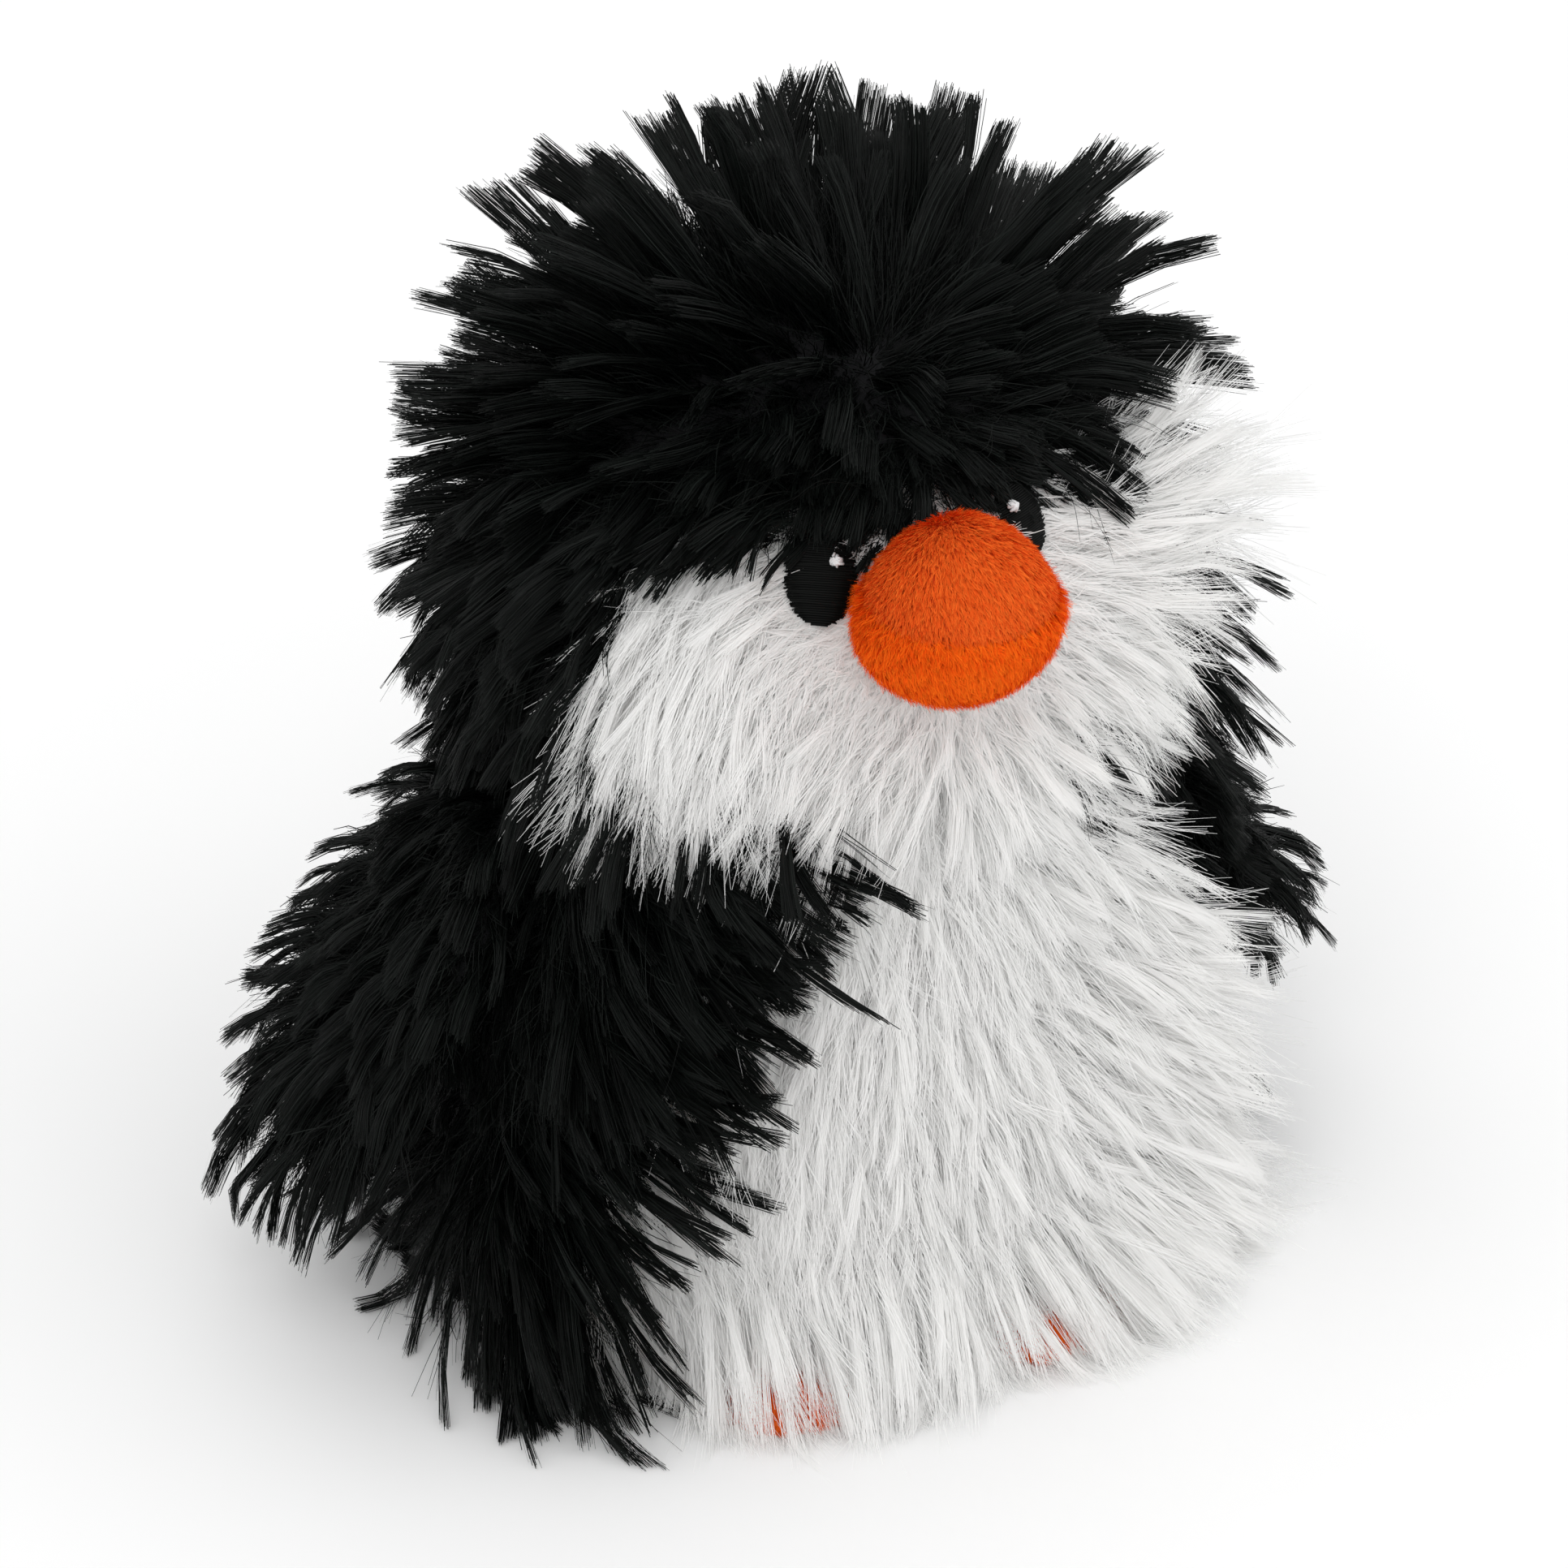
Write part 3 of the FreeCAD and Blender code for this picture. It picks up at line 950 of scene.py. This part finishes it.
def make_brow_fur():
    """A closer row of fur where the hood ends over the brow."""
    def chosen(p):
        edge = hood_edge(p)
        over = over_face(p) & (p[:, 2] > EYE_UP + 3)
        return ((edge > 0) | over) & (edge < 7) & (p[:, 1] < AXIS_Y - 8)

    def length(p):
        long = 13.0 + 7.0 * smooth(np.abs(p[:, 0] - 3), 8, 24) - 0.8 * over_eye(p)
        long = long - 5.0 * smooth(p[:, 0], 26, 36)
        return long * (0.45 + 0.55 * smooth(hood_edge(p), -7, 1))

    def lift(p):
        return 10.0 + 1.2 * hood_edge(p) + 12.0 * smooth(p[:, 0], 8, 24)

    make_fur(
        "brow_fur", surface, chosen, comb_hood, length, lift, EDGE_LOCKS, black_fur, "torso", 24,
        2.6,
    )


def make_bib_edge_fur():
    """A closer row of black fur that lies forward over the bib's right edge."""
    def chosen(p):
        return (panel_of(p) == BACK_RIGHT) & (near_bib(p) > 0.45) & (p[:, 2] < 108)

    def length(p):
        return 29.0 + 3.0 * fade(p[:, 2], 16, 40) - 7.0 * smooth(p[:, 2], 74, 88)

    def lift(p):
        return 22.0 + 20.0 * fade(p[:, 2], 12, 40)

    make_fur(
        "bib_edge_fur", surface, chosen, comb_back, length, lift, EDGE_LOCKS, black_fur, "torso",
        26, 2.5,
    )


def make_belly_fringe():
    """A closer row of fur at the foot of the belly, over the feet."""
    def chosen(p):
        return (panel_of(p) == BELLY) & (p[:, 2] < 27) & (np.abs(p[:, 0]) < 46)

    def length(p):
        return 36.0 - 4.0 * smooth(p[:, 2], 8, 24) - 8.0 * smooth(-p[:, 0], 32, 46)

    def lift(p):
        return 64.0 - 8.0 * smooth(p[:, 2], 6, 24) - 34.0 * smooth(-p[:, 0], 30, 46)

    make_fur(
        "belly_fringe", surface, chosen, comb_belly, length, lift, BELLY_LOCKS, white_fur,
        "torso", 25, 2.8,
    )


def make_crimped_hair():
    """Fine crimped hairs that stray over the brow's and the bib's seams."""
    def chosen(p):
        edge = hood_edge(p)
        brow = (edge > 0) & (edge < 9) & (p[:, 1] < AXIS_Y - 6)
        return brow | ((near_bib(p) > 0.6) & (panel_of(p) == BACK_RIGHT))

    rng = np.random.default_rng(27)
    p, n = find_roots(surface, 60000, chosen, 2.4, rng)
    comb = np.where(hood_edge(p)[:, None] > 0, comb_hood(p, n), comb_back(p, n))
    length, lift = np.full(len(p), 21.0), np.full(len(p), 34.0)
    strands = grow(p, n, comb, length, lift, CRIMPED_HAIR, rng, steps=9)
    belong(strand_mesh("crimped_hair", strands, black_fur), "torso")


def make_face_fur(name, side):
    """Short dense fur round the eye and the beak, before the long fur begins."""
    def from_face(p):
        return np.linalg.norm((p - [0, HEAD_FRONT, EYE_UP - 4]) / [1.15, 1, 1], axis=1)

    def chosen(p):
        cheek = panel_of(p) == PANELS.index("cheek_" + name)
        return cheek & ~on_face(p) & (from_face(p) < 30)

    rng = np.random.default_rng(20 + side)
    p, n = find_roots(surface, 160000, chosen, 0.8, rng)
    length = 4.0 + 6.0 * smooth(from_face(p), 16, 28)
    strands = grow(p, n, comb_cheek(p, n), length, np.full(len(p), 22.0), FACE_HAIR, rng)
    belong(strand_mesh("face_fur_" + name, strands, white_fur), "torso")


make_body_fur()
make_brow_fur()
make_bib_edge_fur()
make_crimped_hair()
make_belly_fringe()
for name, side in SIDES:
    make_face_fur(name, side)


# ---------------- flippers

def turned(v, side):
    """Vectors of a flipper that hangs straight down, swung out to its rest pose."""
    c, s = math.cos(FLIPPER_SPLAY), math.sin(FLIPPER_SPLAY)
    x, y, z = np.moveaxis(v, -1, 0)
    return vectors(x * c - side * z * s, y, side * x * s + z * c)


FLIPPER_LOCKS = styled(LOCKS, sag=0.35)
# The left flipper's fur is shorter at its root, and grows more towards its tip.
FLIPPER_LONG = {("right", "outer"): 17.0, ("left", "outer"): 10.5}
FLIPPER_FRINGE = {("right", "outer"): 8.0, ("left", "outer"): 13.0}
INNER_LONG, INNER_FRINGE = 8.0, 12.0
FLIPPER_LIFT = {"outer": 36.0, "inner": 16.0}


def make_flipper(name, side):
    hinge = FLIPPER_HINGE * [side, 1, 1]
    body = "flipper_" + name
    local = ellipsoid_grid(FLIPPER_RADII - FLIPPER_PILE, np.array([0, 0, -FLIPPER_DROP]))
    grid = (turned(local[0], side) + hinge, turned(local[1], side))
    outward = turned(np.array([side, 0.0, 0.0]), side)
    down = turned(np.array([0.0, 0.0, -1.0]), side)
    source = hinge - down * 14

    def comb(p, n):
        return tangent(unit(p - source) + 0.35 * down, n)

    for panel, sign in (("outer", 1), ("inner", -1)):
        def chosen(p, sign=sign):
            return (p - hinge) @ outward * sign >= 0

        skin = patch("flipper_%s_backing_%s" % (panel, name), grid[0], chosen, black_backing)
        belong(skin, body, "flipper_%s_panel_%s" % (panel, name))
        long = FLIPPER_LONG.get((name, panel), INNER_LONG)
        fringe = FLIPPER_FRINGE.get((name, panel), INNER_FRINGE)

        def length(p, long=long, fringe=fringe):
            return long + fringe * smooth((p - hinge) @ down, 26, 56)

        def lift(p, panel=panel):
            return FLIPPER_LIFT[panel] + 0 * p[:, 0]

        make_fur(
            "flipper_%s_fur_%s" % (panel, name), grid, chosen, comb, length, lift,
            FLIPPER_LOCKS, black_fur, body, 31 + side * 2 + sign,
        )


for name, side in SIDES:
    make_flipper(name, side)


# ---------------- beak, eyes and feet

PILE = styled(
    LOCKS, flow=4, swirl=7, lift_flow=3, lift_spread=5, bend=20, sag=0.03, lock_width=(0.4, 0.8),
    strands_per_mm=13, root_spread=0.4, strand_width=0.085, stray=0.16, uneven=0.08, gather=1.0,
    parting=0, fan=0.2, lock_depth=0.8, even=3.0, taper=0.5, rounding=0.2, wave=0.05,
    tone_power=1.0,
)
ROUGH_PILE = styled(PILE, swirl=22, lift_spread=9, stray=0.3)


def make_pile(name, grid, count, chosen, spacing, way, length, lift, style, material, body, seed):
    """Short plush, combed one way."""
    rng = np.random.default_rng(seed)
    p, n = find_roots(grid, count, chosen, spacing, rng)
    comb = tangent(np.array(way) + 0 * p, n)
    strands = grow(p, n, comb, length(p), lift(p), style, rng, steps=3)
    belong(strand_mesh(name, strands, material), body)


def beak_shape(points):
    """The beak's ellipsoid narrows towards the top, is flatter underneath and sinks at its seam."""
    local = (points - BEAK_CENTRE) / BEAK_RADII
    up = local[..., 2:]
    high, low = smooth(up, 0.0, 1.1), smooth(-up, 0.0, 1.1)
    narrow = smooth(up + 0.4, 0.0, 1.5)
    scale = [1.03 - 0.31 * narrow - 0.04 * low, 1 - 0.05 * high, 1 - 0.07 * low]
    local = local * np.concatenate(scale, -1)
    up = local[..., 2:]
    seam = np.exp(-((up - BEAK_SEAM / BEAK_RADII[2]) / 0.06) ** 2)
    lean = np.concatenate([1.1 * (up - 1), 0 * low, 0 * low], -1)
    return local * (1 - 0.02 * seam) * BEAK_RADII + BEAK_CENTRE + lean


def above_seam(p):
    return p[:, 2] - BEAK_CENTRE[2] - BEAK_SEAM


def make_beak():
    grid = ellipsoid_grid(BEAK_RADII - BEAK_PILE, BEAK_CENTRE, 48, 80)
    points = beak_shape(grid[0])
    grid = (points, grid_normals(points))

    def from_seam(p):
        return smooth(np.abs(above_seam(p)), 0.0, 5.0)

    for panel, sign, way, length, lift, style, material in (
        (
            "upper", 1, (0, -0.9, -1.0), lambda p: 1.6 + 0.8 * from_seam(p),
            lambda p: 34.0 - 14.0 * from_seam(p), PILE, orange_pile,
        ),
        (
            "lower", -1, (0, -1.0, -0.8), lambda p: 2.8 - 0.5 * from_seam(p),
            lambda p: 40.0 - 10.0 * from_seam(p), ROUGH_PILE, lower_pile,
        ),
    ):
        def skin_part(p, sign=sign):
            return above_seam(p) * sign > 0

        def pile_part(p, skin_part=skin_part):
            """The panel's pile, which isn't grown where the beak is inside the head."""
            return skin_part(p) & (p[:, 1] < AXIS_Y - 34)

        make_pile(
            "beak_%s_pile" % panel, grid, 34000, pile_part, 0.36, way, length, lift, style,
            material, "torso", 50 + sign,
        )
        skin = patch("beak_%s_backing" % panel, points, skin_part, orange_backing)
        belong(skin, "torso", "beak_%s_panel" % panel)


make_beak()


def skin_point(place, outward, height):
    """The point at a height over the body's filling, straight in from a place."""
    start = place + outward * 14.0
    hit = filling_tree.ray_cast(Vector(start * MM), Vector(-outward))[0]
    return np.array(hit) / MM + outward * height


def tubes(name, paths, radius, material, sides=6):
    """Round threads, with closed ends."""
    helper = np.array([0.31, 0.52, 0.79])  # no thread runs along it
    verts, faces = [], []
    for path in paths:
        along = unit(np.gradient(path, axis=0))
        a = unit(np.cross(along, helper))
        b = np.cross(along, a)
        start = len(verts)
        for centre, u, v in zip(path, a, b):
            for turn in np.linspace(0, 2 * math.pi, sides, endpoint=False):
                verts.append(centre + radius * (math.cos(turn) * u + math.sin(turn) * v))
        faces += (start + ring_quads(len(path), sides)).tolist()
        faces.append(list(range(start + sides - 1, start - 1, -1)))
        faces.append(list(range(len(verts) - sides, len(verts))))
    piece = mesh_object(name, np.array(verts), faces, material)
    piece.data.shade_smooth()
    return piece


PADDING_HEIGHT, PADDING_DROP, PADDING_RIM = 3.0, 0.7, 0.9  # heights over the body's filling
STITCH_HEIGHT, STITCH_DROP, STITCH_OVERLAP = 3.15, 0.75, 0.2
STITCH_GAP, STITCH_WIDTH, STITCH_RAGGED = 0.17, 0.26, 0.55
LOOP_HEIGHT, LOOP_RISE, LOOP_BOW, LOOP_RADIUS, LOOP_CLUSTER, LOOPS = 3.1, 0.7, 0.25, 0.2, 0.22, 26


def make_eye(name, side):
    """An oval of satin stitches over padding, with a small bunch of white loops on it."""
    rng = np.random.default_rng(60 + side)
    half_width, half_height = EYE_RADII[name]
    outward = unit(np.array([side * EYE_OUT, -35.0, 27.0]))
    centre = np.array([side * EYE_OUT, AXIS_Y - 36.0, EYE_UP + EYE_RAISED[name]])
    across = unit(np.cross([0.0, 0.0, 1.0], outward))
    upward = np.cross(outward, across)
    across = across * side  # away from the beak

    def on_eye(u, v, height):
        return skin_point(centre + u * across + v * upward, outward, height)

    rows, columns = 9, 40
    verts = [on_eye(0, 0, PADDING_HEIGHT)]
    for ring in np.arange(1, rows + 1) / rows:
        height = PADDING_HEIGHT - PADDING_DROP * ring ** 2 if ring < 1 else PADDING_RIM
        for turn in np.linspace(0, 2 * math.pi, columns, endpoint=False):
            u, v = half_width * ring * math.cos(turn), half_height * ring * math.sin(turn)
            verts.append(on_eye(u, v, height))
    faces = disc_faces(rows, columns, flipped=side > 0)
    padding = mesh_object("eye_padding_" + name, np.array(verts), faces, black_thread)
    belong(padding, "torso")

    steps = 9
    heights = np.arange(-half_height - 0.1, half_height + 0.1, STITCH_GAP)
    count = len(heights)
    path = np.zeros((count, steps, 3))
    for i, v in enumerate(heights):
        reach = half_width * math.sqrt(max(0.03, 1 - (v / (half_height + 0.15)) ** 2))
        left = -reach - rng.uniform(0.0, STITCH_RAGGED)
        right = reach + rng.uniform(0.0, STITCH_RAGGED)
        tilt = rng.normal(0.05, 0.015)
        for k, u in enumerate(np.linspace(left, right, steps)):
            ring = min(1.0, math.hypot(u / half_width, v / half_height))
            height = STITCH_HEIGHT - STITCH_DROP * ring ** 2 + STITCH_OVERLAP * (i % 2)
            height -= 0.9 * max(0.0, abs(u) - reach) / 0.4
            path[i, k] = on_eye(u, v + tilt * u, height)
    along = unit(np.gradient(path, axis=1))
    facing = unit(outward - dot(outward + 0 * path, along) * along)
    stitches = SimpleNamespace(
        path=path, across=np.cross(along, facing), facing=facing,
        width=np.full((count, steps), STITCH_WIDTH), tone=rng.random(count),
        lock_tone=rng.random(count), rounding=np.full(count, 0.7),
    )
    stitching = strand_mesh("eye_stitches_" + name, stitches, satin_black)
    belong(stitching, "torso", "eye_" + name)

    inward, up = GLINT_PLACE[name]
    loops = []
    for _ in range(LOOPS):
        u0, v0 = rng.normal(0, LOOP_CLUSTER, 2) + [-inward, up]
        turn = rng.uniform(0, math.pi)
        reach = rng.uniform(0.4, 0.75)
        c, s = math.cos(turn), math.sin(turn)
        loop = []
        for t in np.linspace(-1, 1, 9):
            bow = 1 - t * t
            u = u0 + reach * t * c + LOOP_BOW * s * bow
            v = v0 + reach * t * s - LOOP_BOW * c * bow
            loop.append(on_eye(u, v, LOOP_HEIGHT + LOOP_RISE * bow))
        loops.append(loop)
    glint = tubes("eye_glint_loops_" + name, loops, LOOP_RADIUS, white_thread)
    belong(glint, "torso", "eye_glint_" + name)


for name, side in SIDES:
    make_eye(name, side)


FILLING_DEPTH, LUMP_DEPTH = 1.5, 0.5  # how far inside the fabric the filling's face is


def make_filling(name, points, body, node):
    """Loose fibre filling: a lumpy mass inside the fabric."""
    lumps = ripple(8, 9.0)
    rows, columns = points.shape[:2]
    normals = grid_normals(points)
    depth = LUMP_DEPTH * np.clip(lumps(points.reshape(-1, 3)), -1.5, 1.5) - FILLING_DEPTH
    points = points + depth.reshape(rows, columns, 1) * normals
    flat = np.concatenate([points.reshape(-1, 3), points[:1].mean(1), points[-1:].mean(1)])
    faces = ring_quads(rows, columns).tolist()
    bottom, top = rows * columns, rows * columns + 1
    last = (rows - 1) * columns
    for c in range(columns):
        d = (c + 1) % columns
        faces += [(bottom, d, c), (last + c, last + d, top)]
    piece = mesh_object(name, flat, faces, filling)
    belong(piece, body, node)


# Each ring of a sole or of the base: its share of the way out to the rim, and its height.
SOLE_RINGS = ((0.0, 0.25), (0.5, 0.1), (0.85, 0.0), (0.97, 0.25), (1.0, 0.7), (0.97, 1.1))
BASE_RINGS = (
    (0.0, 0.35), (0.05, 0.35), (0.4, 0.25), (0.8, 0.1), (0.95, 0.0), (0.985, 0.3), (1.0, 1.2),
    (0.99, 2.2), (0.95, 2.8),
)
SOLE_HEIGHT = 0.9  # of the foot's upper over the floor


def oval(middle, radii, columns):
    turn = np.linspace(0, 2 * math.pi, columns, endpoint=False)
    return middle + radii * np.stack([np.cos(turn), np.sin(turn)], -1)


def make_disc(name, rim, rings, flipped, material, body, node):
    """A disc of cloth, a little hollowed by its seam."""
    middle = rim.mean(0)
    verts = [(*middle, rings[0][1])]
    for share, height in rings[1:]:
        verts += [(x, y, height) for x, y in middle + share * (rim - middle)]
    faces = disc_faces(len(rings) - 1, len(rim), flipped)
    belong(mesh_object(name, np.array(verts), faces, material), body, node)


def make_foot(name, side):
    """Short orange plush over a small filled pouch, with a flat sole."""
    body = "foot_" + name
    centre = FOOT_CENTRE * [side, 1, 1]
    heel = centre[1] + FOOT_HEEL

    def pouch(inset, floor, back, rows, columns):
        """The foot's ellipsoid, flat underneath and at the heel."""
        points, normals = ellipsoid_grid(FOOT_RADII - inset, centre, rows, columns)
        points[..., 2] = np.maximum(points[..., 2], floor)
        points[..., 1] = np.minimum(points[..., 1], back)
        return points, normals

    points, normals = pouch(1.0, SOLE_HEIGHT, heel - 0.8, 40, 64)
    def off_floor(p):
        return p[:, 2] > SOLE_HEIGHT + 0.001

    skin = patch("foot_upper_" + name, points, off_floor, orange_backing)
    belong(skin, body, "foot_upper_panel_" + name)

    make_pile(
        "foot_pile_" + name, (points, normals), 14000,
        lambda p: (p[:, 2] > 1.0) & (p[:, 1] < heel - 1.0), 0.5, (0, -0.6, -0.5),
        lambda p: np.full(len(p), 1.9), lambda p: np.full(len(p), 30.0), PILE, orange_pile,
        body, 70 + side,
    )

    rim = oval(centre[:2], FOOT_RADII[:2] - 0.8, 48)
    rim[:, 1] = np.minimum(rim[:, 1], heel - 0.6)
    make_disc(
        "foot_sole_cloth_" + name, rim, SOLE_RINGS, True, orange_backing, body,
        "foot_sole_" + name,
    )
    inner = pouch(2.4, 2.0, heel - 1.8, 20, 32)[0]
    make_filling("foot_filling_" + name, inner, body, "foot_stuffing_" + name)


for name, side in SIDES:
    make_foot(name, side)
    inner, _ = ellipsoid_grid(FLIPPER_RADII - 4.2, np.array([0, 0, -FLIPPER_DROP]))
    inner = turned(inner, side) + FLIPPER_HINGE * [side, 1, 1]
    make_filling("flipper_filling_" + name, inner, "flipper_" + name, "flipper_stuffing_" + name)
make_filling("body_filling", surface[0] - BACKING * surface[1], "torso", "body_stuffing")
beak_inside = beak_shape(ellipsoid_grid(BEAK_RADII - 4.0, BEAK_CENTRE)[0])
make_filling("beak_filling", beak_inside, "torso", "beak_stuffing")
base_low, base_high = node_box("base_panel")
rim = oval((base_low + base_high)[:2] / 2, (base_high - base_low)[:2] / 2, 96)
make_disc("base_cloth", rim, BASE_RINGS, False, base_cloth, "torso", "base_panel")


# ---------------- floor, light and camera

def make_lamp(name, place, size, power):
    """A round soft lamp that points at the middle of the penguin."""
    data = bpy.data.lights.new(name, "AREA")
    data.shape = "DISK"
    data.size = size
    data.energy = power
    lamp = add_object(name, data)
    lamp.location = place
    way = Vector((0, 0, 0.09)) - Vector(place)
    lamp.rotation_euler = way.to_track_quat("-Z", "Y").to_euler()


def make_stage():
    reach = 4.0 / MM
    corners = [(-reach, -reach, 0), (reach, -reach, 0), (reach, reach, 0), (-reach, reach, 0)]
    material, shader, _, _ = new_material("pale_floor")
    set_inputs(shader, {"Base Color": (0.92, 0.92, 0.92, 1), "Roughness": 0.9})
    floor = mesh_object("floor", corners, [(0, 1, 2, 3)], material)
    world = bpy.data.worlds.new("studio")
    bpy.context.scene.world = world
    world.use_nodes = True
    set_inputs(world.node_tree.nodes["Background"], {"Color": (1, 1, 1, 1), "Strength": 0.99})
    make_lamp("key", (-0.6, -0.7, 1.4), 0.9, 5)
    make_lamp("fill", (1.1, -0.5, 0.7), 0.9, 2)
    bpy.context.scene.view_settings.view_transform = "Standard"


make_stage()

AZIMUTH, ELEVATION, ROLL = math.radians(-26), math.radians(34), math.radians(1.5)
DISTANCE = 900.0
VIEW_WIDTH = 251.0  # what the camera takes in across, at that distance
AIM = np.array([0.0, 0.0, 85.0])
AIM_RIGHT, AIM_DOWN = 6.0, 1.0  # how far off the view's middle it is
SENSOR = 36.0


def make_camera():
    data = bpy.data.cameras.new("camera")
    data.sensor_width = SENSOR
    data.lens = SENSOR * DISTANCE / VIEW_WIDTH
    data.clip_start = 0.05
    data.clip_end = 20
    camera = add_object("camera", data)
    level = np.array([math.sin(AZIMUTH), -math.cos(AZIMUTH), 0.0])
    back = level * math.cos(ELEVATION) + np.array([0.0, 0.0, math.sin(ELEVATION)])
    right = np.array([math.cos(AZIMUTH), math.sin(AZIMUTH), 0.0])
    up = np.cross(back, right)
    place = AIM + back * DISTANCE - right * AIM_RIGHT + up * AIM_DOWN
    camera.location = Vector(place) * MM
    camera.rotation_euler = (-Vector(back)).to_track_quat("-Z", "Y").to_euler()
    camera.rotation_euler.rotate_axis("Z", ROLL)
    bpy.context.scene.camera = camera


make_camera()
